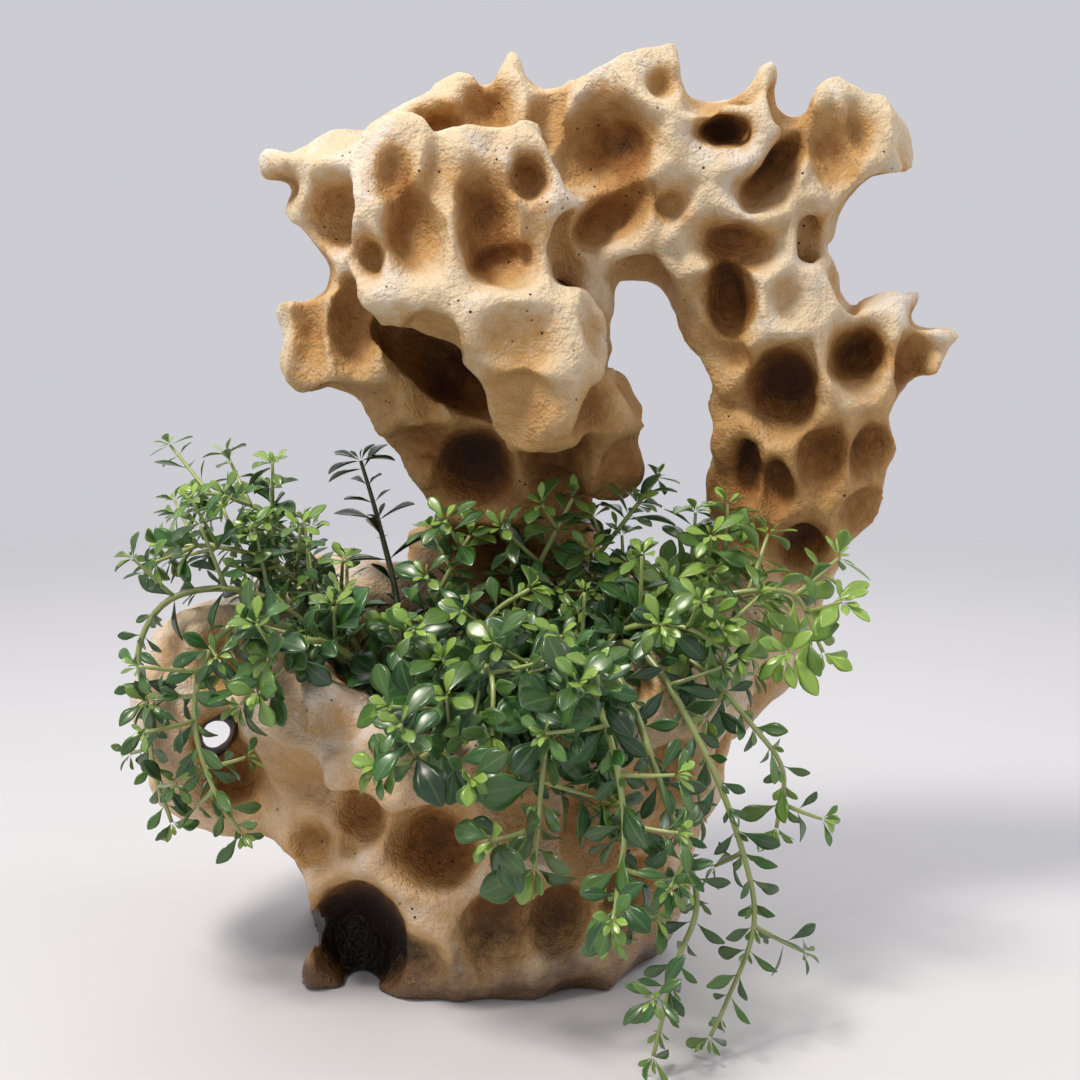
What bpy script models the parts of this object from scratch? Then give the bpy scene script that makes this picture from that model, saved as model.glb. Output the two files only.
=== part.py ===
"""A hollowed tufa stone with an arch, its soil and the sprigs that grow in its pocket. Metres, +Z up.

The origin is on the table, at the middle of the stone's flat foot. +X is the viewer's right, and +Y is away.
"""

import math
import random

import bmesh
import bpy
from mathutils import Matrix, Vector
from mathutils.bvhtree import BVHTree

MM = 0.001

# Places are set out on an upright sheet through the origin, as the eye sees them: u to the right and v up,
# in mm, then how far behind the sheet the point lies. The point slides along the line of sight from the eye.
EYE = Vector((13.0, -290.0, 118.0))

# The stone, in mm: place (u, v, depth), radii (across, deep, tall) and the lean to the right in degrees.
BOWL_LUMPS = (
    ((1, 24, 0), (43, 36, 34), 0),
    ((-8, 14, -2), (38, 32, 26), 0),
    ((6, 6, 0), (32, 30, 20), 0),
    ((-30, 45, -6), (18, 20, 16), 0),
    ((-50, 45, -8), (13, 15, 19), 8),
    ((-44, 34, -6), (15, 15, 12), 30),
    ((-42, 54, 2), (17, 20, 12), 0),
    ((-22, 62, 26), (24, 11, 13), 0),
    ((-4, 72, 32), (9, 8, 10), 0),
    ((12, 64, 28), (24, 12, 13), 0),
    ((44, 56, 10), (15, 20, 17), 0),
    ((54, 58, 18), (8, 12, 12), 0),
    ((34, 38, -8), (14, 18, 18), 0),
    ((-27, 43, -22), (10, 9, 9), 0),
    ((-12, 34, -30), (14, 8, 8), 0),
    ((4, 36, -31), (13, 8, 8), 0),
    ((18, 40, -28), (12, 8, 9), 0),
    ((32, 46, -20), (10, 10, 10), 0),
)
ARCH_LUMPS = (
    ((-31, 142, -3), (6, 5, 3), 40),
    ((-20, 142, -3), (12, 14, 8), 0),
    ((-18, 130, -3), (10, 13, 12), 0),
    ((-23, 119, -2), (11, 13, 10), 0),
    ((-21, 112, -2), (13, 12, 8), 0),
    ((0, 134, 2), (24, 12, 17), 0),
    ((-12, 135, -16), (8, 10, 17), 0),
    ((2, 134, -17), (11, 10, 16), 0),
    ((11, 138, -16), (7, 9, 13), 0),
    ((-6, 121, -17), (14, 9, 6), 20),
    ((10, 116, -20), (11, 9, 9), 25),
    ((14, 112, -19), (9, 9, 11), 0),
    ((13, 103, -18), (8, 8, 9), 0),
    ((25, 102, -8), (6, 8, 6), 0),
    ((27, 91, 0), (6, 7, 5), 0),
    ((20, 97, 0), (9, 10, 9), 0),
    ((-5, 106, 4), (14, 12, 10), -30),
    ((8, 112, 4), (16, 11, 14), 0),
    ((-6, 113, 10), (18, 11, 14), 0),
    ((4, 95, 8), (16, 12, 15), -15),
    ((8, 84, 14), (16, 12, 16), 0),
    ((10, 72, 20), (15, 12, 14), 0),
    ((-6, 151, 4), (11, 9, 6), -25),
    ((6, 152, 4), (12, 12, 10), 0),
    ((11, 158, 4), (4, 6, 6), 0),
    ((30, 147, 0), (16, 15, 14), 0),
    ((31, 155, -2), (10, 9, 10), 0),
    ((18, 134, 0), (14, 13, 10), -25),
    ((47, 147, 0), (15, 15, 13), 0),
    ((51, 155, -2), (9, 8, 7), 0),
    ((62, 145, 0), (13, 13, 12), 0),
    ((64, 151, -2), (9, 9, 8), 0),
    ((72, 145, 0), (7, 9, 11), 0),
    ((47, 132, 0), (14, 14, 13), 0),
    ((54, 120, 0), (14, 13, 13), 0),
    ((60, 108, 2), (16, 14, 13), 0),
    ((73, 114, 2), (11, 10, 8), -15),
    ((83, 116, 2), (4, 5, 4), 0),
    ((76, 106, 2), (9, 9, 9), 0),
    ((61, 96, 4), (17, 13, 12), 0),
    ((60, 86, 6), (15, 12, 10), 0),
    ((57, 76, 10), (11, 11, 11), 0),
    ((54, 66, 14), (12, 13, 12), 0),
)
# Hollows, in mm: the middle of the mouth (u, v), how far across, tall and deep from there, and the lean.
FRONT_HOLLOWS = (
    (-10, 135, 5, 14, 7, 0),
    (3, 134, 5, 11, 9, 0),
    (11, 141, 3, 7, 4, 0),
    (4, 155, 5, 4, 7, 0),
    (-6, 151, 5, 3, 5, -20),
    (23, 147, 9, 9, 9, 0),
    (24, 132, 9, 4, 9, -30),
    (45, 153, 5, 5, 9, 0),
    (55, 144, 3, 7, 8, 25),
    (65, 147, 4, 9, 5, 0),
    (73, 151, 3, 5, 4, 0),
    (66, 132, 4, 9, 6, 10),
    (46, 126, 6, 12, 9, 10),
    (59, 123, 4, 4, 3, 0),
    (56, 104, 8, 9, 9, 0),
    (70, 113, 6, 6, 8, 0),
    (80, 108, 3, 7, 6, 10),
    (-2, 112, 16, 7, 13, 35),
    (-1, 90, 8, 9, 9, 0),
    (17, 88, 6, 8, 7, 0),
    (-18, 131, 4, 6, 5, 0),
    (-23, 121, 6, 5, 4, 0),
    (-26, 112, 6, 4, 3, 0),
    (-45, 54, 6, 7, 8, 0),
    (-45, 30, 6, 6, 7, 0),
    (-29, 18, 5, 5, 6, 0),
    (-20, 24, 5, 6, 7, 0),
    (-24, 17, 3, 4, 4, 0),
    (-8, 18, 9, 8, 9, 0),
    (-30, 47, 7, 4, 2, 0),
    (-42, 12, 4, 6, 5, 0),
    (-30, -2, 13, 11, 20, 0),
    (5, -1, 7, 9, 9, 0),
    (18, 2, 8, 8, 9, 0),
    (30, 49, 5, 4, 4, 0),
    (-18, 5, 9, 5, 2, 0),
    (10, 30, 9, 9, 5, 0),
    (25, 20, 8, 10, 6, 0),
    (38, 30, 6, 8, 5, 0),
    (32, 6, 7, 9, 8, 0),
    (-48, 40, 4, 3, 40, -40),
)
# The hollows scattered over the rest: how many, how far apart in mm, and their least and greatest radii.
DEEP_SCATTER = (46, 13, (4, 8), (5, 8))
SHALLOW_SCATTER = (70, 10, (5, 9), (2, 3))
SEED = 4
# Each is aimed at a point in this box, in mm, from this far off, at a rise and with a lean in degrees.
AIM_BOX = ((-60, 85), (-35, 40), (4, 165))
AIM_FROM = 300.0
AIM_RISES = (-25, 50)
AIM_LEANS = (-40, 40)
AIM_TRIES = 9000
# The stone's surface counts as seen where its outward normal turns this much towards the eye.
SEEN_TURN = 0.2
# The pocket that holds the soil: its middle, its radii and the level that the soil is filled to, in mm.
POCKET_MIDDLE = Vector((0.0, -3.0, 54.0))
POCKET_RADII = Vector((31.0, 25.0, 26.0))
SOIL_LEVEL = 47.0
SOIL_GAP = 0.5

# The sprigs from just over their roots to their tips, as places (u, v, depth) in mm.
SPRIGS = {
    "back_left": ((-13, 58, 6), (-14, 68, 10), (-16, 77, 12), (-18, 85, 12), (-20, 92, 12)),
    "left_high": ((-18, 55, 8), (-25, 68, 8), (-34, 79, 6), (-43, 85, 4), (-50, 86, 2)),
    "left_far": ((-20, 54, 1), (-27, 65, -2), (-37, 73, -6), (-47, 76, -8), (-57, 76, -8)),
    "left_outer": (
        (-22, 54, -6), (-32, 63, -10), (-44, 68, -14), (-56, 66, -17), (-62, 57, -20), (-61, 45, -23),
        (-60, 33, -26), (-57, 23, -28),
    ),
    "left_inner": (
        (-21, 51, -11), (-32, 60, -20), (-43, 62, -25), (-50, 54, -29), (-52, 42, -31), (-49, 30, -33),
        (-44, 21, -35),
    ),
    "front_left": ((-18, 50, -15), (-25, 57, -23), (-32, 58, -32), (-38, 55, -37)),
    "front_stem": ((-13, 46, -17), (-14, 51, -18), (-14, 56, -20), (-15, 61, -22)),
    "front_low": ((-6, 47, -17), (-4, 48, -28), (-4, 42, -38), (-9, 36, -44), (-17, 34, -47)),
    "middle_left": ((-9, 53, 2), (-8, 62, -2), (-4, 71, -6), (0, 78, -8)),
    "middle": ((-4, 50, -6), (0, 57, -14), (5, 64, -20), (11, 68, -22)),
    "middle_front": ((0, 48, -17), (1, 54, -28), (4, 51, -39), (4, 40, -44)),
    "front_centre": ((6, 50, -15), (11, 54, -28), (14, 43, -43), (13, 27, -47), (12, 14, -47)),
    "front_right": ((12, 52, -12), (19, 55, -27), (26, 40, -45), (29, 23, -50), (28, 11, -50), (27, 1, -50)),
    "right_hanging": ((22, 55, 1), (32, 60, -14), (43, 53, -25), (53, 42, -30), (59, 33, -30), (58, 22, -30)),
    "right_long": (
        (18, 53, -8), (31, 57, -23), (44, 37, -37), (52, 16, -42), (54, 2, -46), (49, -13, -50),
        (46, -20, -52),
    ),
    "front_bottom": (
        (16, 50, -20), (27, 52, -29), (37, 27, -44), (43, 8, -48), (39, -6, -53), (35, -24, -57),
    ),
    "right_high": ((12, 57, 10), (18, 67, 2), (25, 76, -2), (31, 84, -4)),
    "right_middle": ((18, 57, 8), (30, 67, -4), (42, 73, -10), (50, 76, -12)),
    "right_tip": ((23, 57, 6), (34, 64, -10), (47, 67, -18), (60, 67, -20), (66, 56, -22)),
    "right_low": ((20, 52, -3), (28, 60, -17), (39, 61, -24), (50, 55, -28)),
    "middle_back": ((6, 57, 10), (10, 66, 2), (14, 75, -4), (19, 85, -6)),
}
# Their thickness in mm: the bare stem over the first part of the length, then the reach of the leaves, which
# grows by LEAF_SPREAD over the whole leafy part until it meets the taper to the tip.
STEM_RADIUS = 1.0
BARE_PART = 0.3
LEAF_SPREAD = 30.0
LEAFY_RADIUS = 6.0
TIP_RADIUS = 3.0
LEAST_RADIUS = 0.6
# The room left in mm under a root and round a sprig, then how finely its bar is drawn.
ROOT_GAP = 0.3
SPRIG_GAP = 0.4
SPRIG_STEP = 5.0
SPRIG_SIDES = 6

# How finely the stone is drawn, in metres, how far each drawing is smoothed, and the share of faces kept.
LUMP_GRID = 0.0018
HOLLOW_GRID = 0.0016
STONE_GRID = 0.0014
SMOOTHING = 0.5
LUMP_PASSES = 5
STONE_PASSES = 4
STONE_KEPT = 0.055
ROUND_DETAIL = 3
# The block that cuts the foot flat, in metres: its width each way, then its height.
GROUND_WIDTH = 0.2
GROUND_HEIGHT = 0.05

# Each material's colour and roughness.
TUFA = ((0.62, 0.50, 0.36, 1.0), 0.75)
EARTH = ((0.035, 0.025, 0.018, 1.0), 0.9)
LEAF = ((0.07, 0.22, 0.03, 1.0), 0.4)


def seen(u, v, depth):
    """The point, in metres, that the eye sees at (u, v) on the sheet and that lies depth mm behind it."""
    on_sheet = Vector((u, 0.0, v))
    reach = 1 + depth / -EYE.y
    return (EYE + reach * (on_sheet - EYE)) * MM


def add_ellipsoid(bm, middle, radii, turn):
    size = Matrix.Diagonal((*(Vector(radii) * MM), 1.0))
    bmesh.ops.create_icosphere(
        bm, subdivisions=ROUND_DETAIL, radius=1.0, matrix=Matrix.Translation(middle) @ turn @ size
    )


def add_lump(bm, place, radii, lean):
    add_ellipsoid(bm, seen(*place), radii, Matrix.Rotation(math.radians(lean), 4, "Y"))


def make_cutter(name, bm):
    made = make_object(name, bm)
    made.hide_render = True
    made.display_type = "WIRE"
    return made


def make_object(name, bm):
    mesh = bpy.data.meshes.new(name)
    bm.to_mesh(mesh)
    bm.free()
    made = bpy.data.objects.new(name, mesh)
    bpy.context.scene.collection.objects.link(made)
    return made


def add_modifier(owner, kind, **settings):
    made = owner.modifiers.new(kind.title(), kind)
    for name, value in settings.items():
        setattr(made, name, value)
    return made


def surface(owner):
    """A search tree of the piece's surface, as its modifiers leave it."""
    return BVHTree.FromObject(owner, bpy.context.evaluated_depsgraph_get())


def facing(inward, lean):
    """A turn that points local +Y along inward and keeps local +Z as upright as it can, then leans it."""
    across = inward.cross(Vector((0, 0, 1))).normalized()
    upright = across.cross(inward)
    axes = Matrix((across, inward, upright)).transposed().to_4x4()
    return axes @ Matrix.Rotation(math.radians(lean), 4, "Y")


def front_hollows(stone):
    """Hollows pressed in where the eye sees them, each as its mouth, radii (across, deep, tall) and turn.

    One that the eye sees beside the stone notches its outline, at the nearest point.
    """
    eye = EYE * MM
    made = []
    for u, v, across, tall, deep, lean in FRONT_HOLLOWS:
        inward = (Vector((u, 0.0, v)) * MM - eye).normalized()
        mouth = stone.ray_cast(eye, inward)[0] or stone.find_nearest(seen(u, v, 0))[0]
        made.append((mouth, (across, deep, tall), facing(inward, lean)))
    return made


def scattered_hollows(stone, taken, seen_too, count, spacing, widths, depths):
    """Hollows scattered over the stone, clear of those there already. Off the seen side, unless seen_too."""
    chance = random.Random(SEED)
    eye = EYE * MM
    made = []
    for _ in range(AIM_TRIES):
        azimuth = math.radians(chance.uniform(0, 360))
        rise = math.radians(chance.uniform(*AIM_RISES))
        aim = Vector([chance.uniform(*reach) for reach in AIM_BOX]) * MM
        across, tall, deep = chance.uniform(*widths), chance.uniform(*widths), chance.uniform(*depths)
        lean = chance.uniform(*AIM_LEANS)
        level = math.cos(rise)
        outward = Vector((math.cos(azimuth) * level, math.sin(azimuth) * level, math.sin(rise)))
        mouth, normal = stone.ray_cast(aim + outward * (AIM_FROM * MM), -outward)[:2]
        if mouth is None or (not seen_too and normal.dot((eye - mouth).normalized()) > SEEN_TURN):
            continue
        if any((mouth - other[0]).length < spacing * MM for other in taken + made):
            continue
        made.append((mouth, (across, deep, tall), facing(-normal, lean)))
        if len(made) == count:
            break
    return made


def build_rock():
    bm = bmesh.new()
    for row in BOWL_LUMPS + ARCH_LUMPS:
        add_lump(bm, *row)
    rock = make_object("rock", bm)
    add_modifier(rock, "REMESH", mode="VOXEL", voxel_size=LUMP_GRID)
    add_modifier(rock, "SMOOTH", factor=SMOOTHING, iterations=LUMP_PASSES)

    stone = surface(rock)
    pressed = front_hollows(stone)
    pressed += scattered_hollows(stone, pressed, False, *DEEP_SCATTER)
    pressed += scattered_hollows(stone, pressed, True, *SHALLOW_SCATTER)
    bm = bmesh.new()
    for mouth, radii, turn in pressed:
        add_ellipsoid(bm, mouth, radii, turn)
    hollows = make_cutter("hollows", bm)
    add_modifier(hollows, "REMESH", mode="VOXEL", voxel_size=HOLLOW_GRID)
    add_modifier(rock, "BOOLEAN", object=hollows, operation="DIFFERENCE")
    add_modifier(rock, "REMESH", mode="VOXEL", voxel_size=STONE_GRID)
    add_modifier(rock, "SMOOTH", factor=SMOOTHING, iterations=STONE_PASSES)
    add_modifier(rock, "DECIMATE", ratio=STONE_KEPT)

    bm = bmesh.new()
    add_ellipsoid(bm, POCKET_MIDDLE * MM, POCKET_RADII, Matrix())
    add_modifier(rock, "BOOLEAN", object=make_cutter("pocket", bm), operation="DIFFERENCE")
    bm = bmesh.new()
    size = Matrix.Diagonal((GROUND_WIDTH, GROUND_WIDTH, GROUND_HEIGHT, 1))
    bmesh.ops.create_cube(bm, size=1.0, matrix=Matrix.Translation((0, 0, -GROUND_HEIGHT / 2)) @ size)
    add_modifier(rock, "BOOLEAN", object=make_cutter("ground", bm), operation="DIFFERENCE")
    finish(rock, *TUFA)
    return rock


def build_soil():
    """The earth in the pocket: the pocket's own shape, a little smaller, cut off at the soil's level."""
    bm = bmesh.new()
    add_ellipsoid(bm, POCKET_MIDDLE * MM, POCKET_RADII - Vector((SOIL_GAP,) * 3), Matrix())
    every = bm.verts[:] + bm.edges[:] + bm.faces[:]
    level = Vector((0, 0, SOIL_LEVEL)) * MM
    cut = bmesh.ops.bisect_plane(bm, geom=every, plane_co=level, plane_no=(0, 0, 1), clear_outer=True)
    rim = [part for part in cut["geom_cut"] if isinstance(part, bmesh.types.BMEdge)]
    bmesh.ops.holes_fill(bm, edges=rim, sides=0)
    soil = make_object("soil", bm)
    finish(soil, *EARTH)
    return soil


def smooth_path(places):
    """Points about SPRIG_STEP mm apart on a smooth curve, from the soil straight up to the places and on."""
    knots = [seen(*place) for place in places]
    root = knots[0].copy()
    root.z = SOIL_LEVEL * MM + ROOT_GAP * MM
    knots.insert(0, root)
    knots = [2 * knots[0] - knots[1]] + knots + [2 * knots[-1] - knots[-2]]
    path = []
    for before, start, end, after in zip(knots, knots[1:], knots[2:], knots[3:]):
        steps = max(1, round((end - start).length / (SPRIG_STEP * MM)))
        for step in range(steps):
            t = step / steps
            bend = 2 * before - 5 * start + 4 * end - after
            twist = -before + 3 * start - 3 * end + after
            path.append((2 * start + t * (end - before) + t * t * bend + t * t * t * twist) / 2)
    return path + [knots[-2]]


def wanted_radius(along):
    """How thick a sprig is, in mm, from 0 at its root to 1 at its tip: a bare stem, then its leaves' reach."""
    if along < BARE_PART:
        return STEM_RADIUS
    leafy = (along - BARE_PART) / (1 - BARE_PART)
    return min(STEM_RADIUS + leafy * LEAF_SPREAD, LEAFY_RADIUS + leafy * (TIP_RADIUS - LEAFY_RADIUS))


def add_tube(bm, path, radii):
    """A round bar along the path, with a ring of points at each step and a flat cap at each end."""
    rings = []
    side = Vector((1, 0, 0))
    for index, (middle, radius) in enumerate(zip(path, radii)):
        along = (path[min(index + 1, len(path) - 1)] - path[max(index - 1, 0)]).normalized()
        side = (side - along * side.dot(along)).normalized()
        other = along.cross(side)
        ring = []
        for step in range(SPRIG_SIDES):
            angle = 2 * math.pi * step / SPRIG_SIDES
            outward = side * math.cos(angle) + other * math.sin(angle)
            ring.append(bm.verts.new(middle + outward * radius))
        rings.append(ring)
    for low, high in zip(rings, rings[1:]):
        for step in range(SPRIG_SIDES):
            after = (step + 1) % SPRIG_SIDES
            bm.faces.new((low[step], low[after], high[after], high[step]))
    bm.faces.new(reversed(rings[0]))
    bm.faces.new(rings[-1])


def build_sprigs(stone):
    """Each sprig fills the room it has: to the stone, half way to its neighbours, and down to the table."""
    paths = {name: smooth_path(places) for name, places in SPRIGS.items()}
    for name, path in paths.items():
        others = [point for other, there in paths.items() if other != name for point in there]
        radii = []
        for index, point in enumerate(path):
            to_stone = stone.find_nearest(point)[3]
            to_others = min((point - other).length for other in others) / 2
            room = min(to_stone, to_others, point.z) - SPRIG_GAP * MM
            radii.append(max(min(wanted_radius(index / (len(path) - 1)) * MM, room), LEAST_RADIUS * MM))
        bm = bmesh.new()
        add_tube(bm, path, radii)
        finish(make_object("sprig_" + name, bm), *LEAF)


def finish(piece, colour, roughness):
    """Gives a piece its own material and smooth shading."""
    material = bpy.data.materials.new(piece.name)
    material.use_nodes = True
    shader = material.node_tree.nodes["Principled BSDF"]
    shader.inputs["Base Color"].default_value = colour
    shader.inputs["Roughness"].default_value = roughness
    shader.inputs["Metallic"].default_value = 0.0
    piece.data.materials.append(material)
    piece.data.shade_smooth()


def clear():
    for old in list(bpy.data.objects):
        bpy.data.objects.remove(old)


def main():
    clear()
    rock = build_rock()
    build_soil()
    build_sprigs(surface(rock))


if __name__ == "__main__":
    main()
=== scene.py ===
# %% [markdown]
# # A planted tufa stone
#
# Tufa is a soft limestone that water has eaten into rounded hollows with thin crests between them. This one stands
# like an arch on a bowl-shaped foot, and a small-leaved creeper grows out of the soil in the bowl.
#
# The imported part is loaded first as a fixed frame. It gives each piece's place, and every piece made below stands
# for one of its nodes.

# %% Load the frame
import math
import random

import bmesh
import bpy
import numpy as np
import openvdb
from mathutils import Matrix, Vector
from mathutils.bvhtree import BVHTree


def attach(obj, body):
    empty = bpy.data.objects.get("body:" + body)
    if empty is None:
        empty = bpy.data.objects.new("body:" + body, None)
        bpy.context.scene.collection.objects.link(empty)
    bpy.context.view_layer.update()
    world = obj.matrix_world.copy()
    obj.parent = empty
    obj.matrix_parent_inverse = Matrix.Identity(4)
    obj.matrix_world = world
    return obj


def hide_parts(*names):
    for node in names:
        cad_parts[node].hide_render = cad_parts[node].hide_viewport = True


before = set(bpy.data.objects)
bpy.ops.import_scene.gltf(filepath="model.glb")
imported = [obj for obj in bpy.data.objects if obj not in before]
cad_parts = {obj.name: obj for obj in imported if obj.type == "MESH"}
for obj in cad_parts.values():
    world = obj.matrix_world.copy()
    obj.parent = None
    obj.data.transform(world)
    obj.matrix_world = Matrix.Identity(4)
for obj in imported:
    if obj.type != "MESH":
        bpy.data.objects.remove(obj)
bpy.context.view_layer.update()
MM = 0.001

# %% [markdown]
# ## The camera
#
# The eye stands 29 cm in front of the stone, a little to its right and at two thirds of its height, and looks
# 8 degrees down. Those three facts were worked out from the picture's perspective. A field of view is set through
# the lens length, on a sensor that Blender takes to be 36 mm wide.

# %% Camera
EYE = Vector((13.0, -290.0, 118.0))
LOOKING_DOWN = 8.0
LENS = 52.67
NEAR = 0.01

camera = bpy.data.objects.new("camera", bpy.data.cameras.new("camera"))
bpy.context.scene.collection.objects.link(camera)
camera.data.lens = LENS
camera.data.clip_start = NEAR
camera.location = EYE * MM
camera.rotation_euler = (math.radians(90 - LOOKING_DOWN), 0, 0)
bpy.context.scene.camera = camera
print("camera at", tuple(camera.location))

# %% [markdown]
# ## Floor and light
#
# A plain pale floor catches the shadows, and fades out before it reaches the horizon. One large soft lamp above the left shoulder makes the crests bright and
# leaves the hollows dark. A second, weaker one from the right opens the shadows there, and a pale world fills the
# rest. Large lamps close to a small object give the soft shadow edges of a room.

# %% Floor, lamps and world
FLOOR_REACH = 1.2
WORLD_COLOUR = (0.65, 0.65, 0.69, 1.0)
WORLD_STRENGTH = 0.93
LAMP_AIM = Vector((0.01, 0.0, 0.08))
# Each lamp: place in metres, power in watts, size in metres and colour.
LAMPS = {
    "key": ((-0.22, -0.20, 0.58), 3.2, 0.14, (1.0, 0.93, 0.84)),
    "side": ((0.46, 0.06, 0.46), 0.7, 0.18, (1.0, 0.95, 0.90)),
    "back": ((0.05, 0.55, 0.45), 0.5, 0.40, (0.95, 0.97, 1.0)),
}


def add_mesh(name, corners, faces):
    """A new mesh object from lists or arrays of corners and faces."""
    mesh = bpy.data.meshes.new(name)
    mesh.from_pydata([tuple(c) for c in corners], [], [tuple(f) for f in faces])
    made = bpy.data.objects.new(name, mesh)
    bpy.context.scene.collection.objects.link(made)
    return made


floor_corners = [(x * FLOOR_REACH, y * FLOOR_REACH, 0) for x, y in ((-1, -1), (1, -1), (1, 1), (-1, 1))]
floor = add_mesh("floor", floor_corners, [(0, 1, 2, 3)])

for name, (place, power, size, colour) in LAMPS.items():
    light = bpy.data.lights.new(name, "AREA")
    light.energy, light.size, light.color = power, size, colour
    lamp = bpy.data.objects.new(name, light)
    bpy.context.scene.collection.objects.link(lamp)
    lamp.location = place
    lamp.rotation_mode = "QUATERNION"
    lamp.rotation_quaternion = (LAMP_AIM - Vector(place)).to_track_quat("-Z", "Y")

world = bpy.data.worlds.new("world")
world.use_nodes = True
world.node_tree.nodes["Background"].inputs["Color"].default_value = WORLD_COLOUR
world.node_tree.nodes["Background"].inputs["Strength"].default_value = WORLD_STRENGTH
bpy.context.scene.world = world
bpy.context.scene.view_settings.view_transform = "Standard"
print("lamps:", ", ".join(LAMPS))

# %% [markdown]
# ## Where things are
#
# The stone's features are easiest to place as the eye sees them. So a place is given on an upright sheet through the
# origin, u to the right and v up, and then how far behind that sheet the point lies. Sliding the point along the
# line of sight keeps it on the same spot of the picture at any depth.


# %% Places as the eye sees them
def seen(u, v, depth):
    """The point, in mm, that the eye sees at (u, v) on the sheet and that lies depth mm behind it."""
    reach = 1 + depth / -EYE.y
    return EYE + reach * (Vector((u, 0.0, v)) - EYE)


# %% [markdown]
# ## The stone's bulk
#
# Before water ate into it, the stone was a solid lump. Here that lump is a list of ellipsoids that melt into each
# other: the bowl first, then the arch from its left end over the top and down the right leg.

# %% The lumps: place (u, v, depth), radii (across, deep, tall) in mm, lean in degrees
BOWL_LUMPS = (
    ((1, 24, 0), (43, 36, 34), 0),
    ((-8, 14, -2), (38, 32, 26), 0),
    ((6, 6, 0), (32, 30, 20), 0),
    ((-30, 45, -6), (18, 20, 16), 0),
    ((-50, 45, -8), (13, 15, 19), 8),
    ((-44, 34, -6), (15, 15, 12), 30),
    ((-42, 54, 2), (17, 20, 12), 0),
    ((-22, 62, 26), (24, 11, 13), 0),
    ((-4, 72, 32), (9, 8, 10), 0),
    ((12, 64, 28), (24, 12, 13), 0),
    ((44, 56, 10), (15, 20, 17), 0),
    ((54, 58, 18), (8, 12, 12), 0),
    ((34, 38, -8), (14, 18, 18), 0),
    ((-27, 43, -22), (10, 9, 9), 0),
    ((-12, 34, -30), (14, 8, 8), 0),
    ((4, 36, -31), (13, 8, 8), 0),
    ((18, 40, -28), (12, 8, 9), 0),
    ((32, 46, -20), (10, 10, 10), 0),
)
ARCH_LUMPS = (
    ((-31, 142, -3), (6, 5, 3), 40),
    ((-20, 142, -3), (12, 14, 8), 0),
    ((-18, 130, -3), (10, 13, 12), 0),
    ((-23, 119, -2), (11, 13, 10), 0),
    ((-21, 112, -2), (13, 12, 8), 0),
    ((0, 134, 2), (24, 12, 17), 0),
    ((-12, 135, -16), (8, 10, 17), 0),
    ((2, 134, -17), (11, 10, 16), 0),
    ((11, 138, -16), (7, 9, 13), 0),
    ((-6, 121, -17), (14, 9, 6), 20),
    ((10, 116, -20), (11, 9, 9), 25),
    ((14, 112, -19), (9, 9, 11), 0),
    ((13, 103, -18), (8, 8, 9), 0),
    ((25, 102, -8), (6, 8, 6), 0),
    ((27, 91, 0), (6, 7, 5), 0),
    ((20, 97, 0), (9, 10, 9), 0),
    ((-5, 106, 4), (14, 12, 10), -30),
    ((8, 112, 4), (16, 11, 14), 0),
    ((-6, 113, 10), (18, 11, 14), 0),
    ((4, 95, 8), (16, 12, 15), -15),
    ((8, 84, 14), (16, 12, 16), 0),
    ((10, 72, 20), (15, 12, 14), 0),
    ((-6, 151, 4), (11, 9, 6), -25),
    ((6, 152, 4), (12, 12, 10), 0),
    ((11, 158, 4), (4, 6, 6), 0),
    ((30, 147, 0), (16, 15, 14), 0),
    ((31, 155, -2), (10, 9, 10), 0),
    ((18, 134, 0), (14, 13, 10), -25),
    ((31, 135, 0), (10, 10, 9), 0),
    ((47, 147, 0), (15, 15, 13), 0),
    ((51, 155, -2), (9, 8, 7), 0),
    ((62, 145, 0), (13, 13, 12), 0),
    ((64, 151, -2), (9, 9, 8), 0),
    ((72, 145, 0), (7, 9, 11), 0),
    ((47, 132, 0), (14, 14, 13), 0),
    ((54, 120, 0), (14, 13, 13), 0),
    ((60, 108, 2), (16, 14, 13), 0),
    ((73, 114, 2), (11, 10, 8), -15),
    ((83, 116, 2), (4, 5, 4), 0),
    ((76, 106, 2), (9, 9, 9), 0),
    ((61, 96, 4), (17, 13, 12), 0),
    ((60, 86, 6), (15, 12, 10), 0),
    ((57, 76, 10), (11, 11, 11), 0),
    ((54, 66, 14), (12, 13, 12), 0),
)
# The lip under the arch's left end is a smooth thick roll, and the foot has a stout left leg. Scoops leave both alone.
SMOOTH_LUMPS = (
    ((-14, 121, -20), (6, 7, 4), 0),
    ((-6, 120, -21), (7, 7, 4.6), 10),
    ((2, 117, -22), (7, 7, 5.6), 30),
    ((9, 113, -23), (7.5, 7, 7.5), 30),
    ((15, 107, -22), (7, 7, 8), 0),
    ((15, 100.5, -21), (6, 7, 5), 0),
    ((20, 114, -18), (5, 7, 7.5), 0),
    ((21, 121, -4), (5, 8, 7), 0),
    ((-35, 4, -8), (8, 12, 14), 0),
)

# %% [markdown]
# ## The stone's hollows
#
# The hollows make the stone's character. Each that the eye can see is listed by its mouth and its size, and is
# pressed in along the line of sight. The sides and the back get theirs from a seeded scatter, at the same sizes.

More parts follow.
